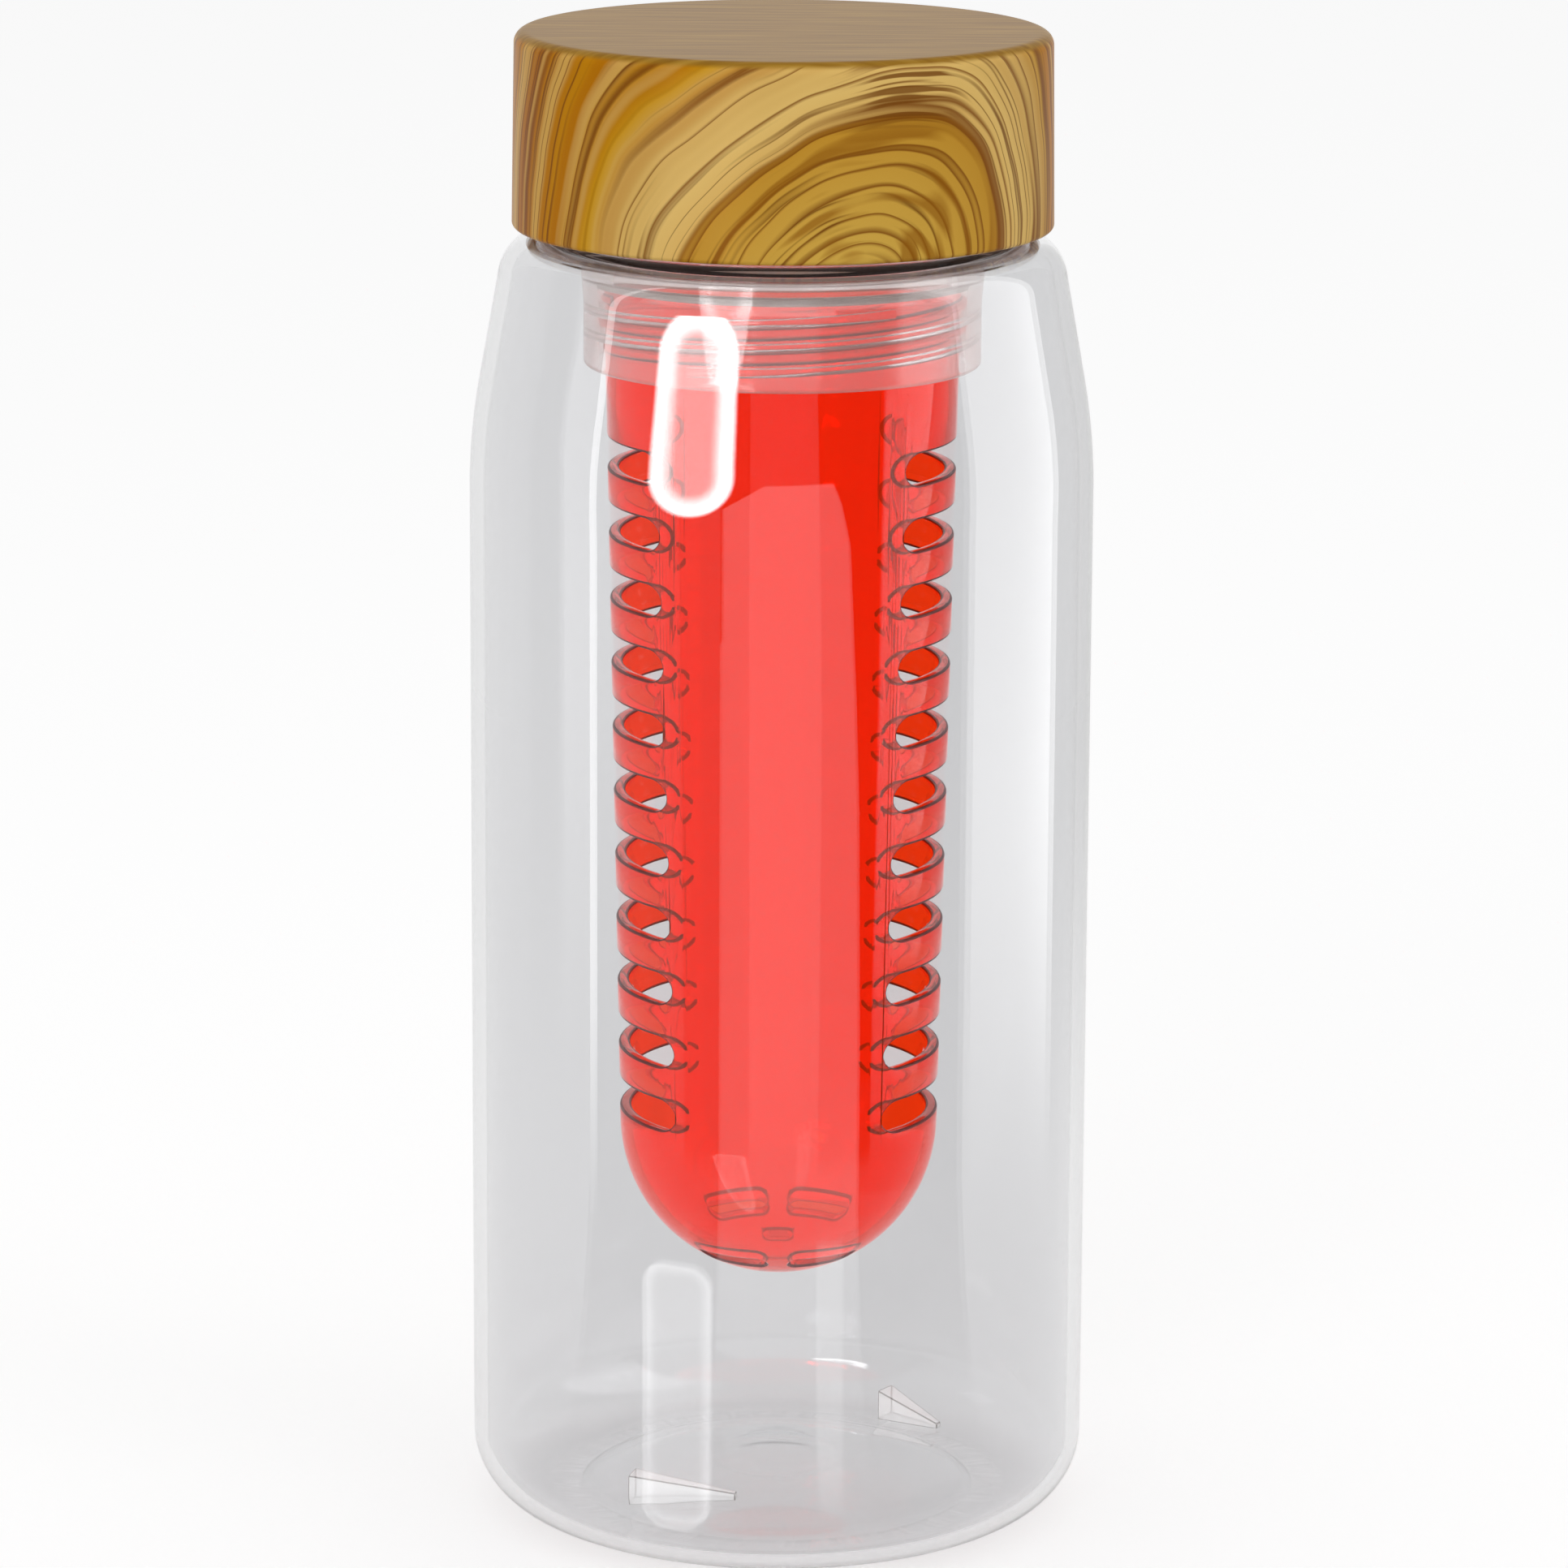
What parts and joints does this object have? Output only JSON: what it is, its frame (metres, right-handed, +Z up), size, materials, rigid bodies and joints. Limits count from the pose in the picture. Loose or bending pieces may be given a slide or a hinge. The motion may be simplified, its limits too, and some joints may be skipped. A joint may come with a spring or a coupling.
{
  "type": "fruit infuser water bottle",
  "caption": "Clear round bottle with a wood-look screw lid and a slotted red fruit basket that screws into the collar under the lid.",
  "frame": {"origin": "centre of the ring that the bottle stands on, at floor level", "axes": "+Z up along the bottle's axis; the front panel of the infuser, between its two rows of slots, faces -Y"},
  "size_m": [0.08, 0.08, 0.1938],
  "materials": {
    "clear_plastic": "clear moulded copolyester, polished",
    "wood_look_plastic": "satin plastic with a printed wood grain",
    "frosted_plastic": "natural polypropylene, milky and half clear",
    "red_plastic": "see-through red moulded plastic, polished",
    "silicone": "soft white silicone"
  },
  "bodies": {
    "bottle": {"bottle_body": "clear_plastic", "bottle_neck": "clear_plastic"},
    "lid_gasket": {"lid_seal": "silicone"},
    "lid": {"lid_shell": "wood_look_plastic", "lid_liner": "frosted_plastic"},
    "infuser_washer": {"infuser_seal": "silicone"},
    "basket": {"infuser": "red_plastic"}
  },
  "joints": [
    {"name": "lid_lift", "type": "slide", "parent": "bottle", "child": "lid_gasket", "axis": [0, 0, 1], "range_m": [0, 0.17201]},
    {"name": "lid_turn", "type": "hinge", "parent": "lid_gasket", "child": "lid", "pos_m": [0, 0, 0.18], "axis": [0, 0, 1], "range_deg": [0, 7740]},
    {"name": "infuser_turn", "type": "hinge", "parent": "lid", "child": "infuser_washer", "pos_m": [0, 0, 0.1628], "axis": [0, 0, -1], "range_deg": [0, 720]},
    {"name": "infuser_drop", "type": "slide", "parent": "infuser_washer", "child": "basket", "axis": [0, 0, -1], "range_m": [0, 0.01241]}
  ],
  "couplings": [
    {"joint": "lid_lift", "follows": "lid_turn", "m_per_rad": 0.0012732},
    {"joint": "infuser_drop", "follows": "infuser_turn", "m_per_rad": 0.00098676}
  ]
}
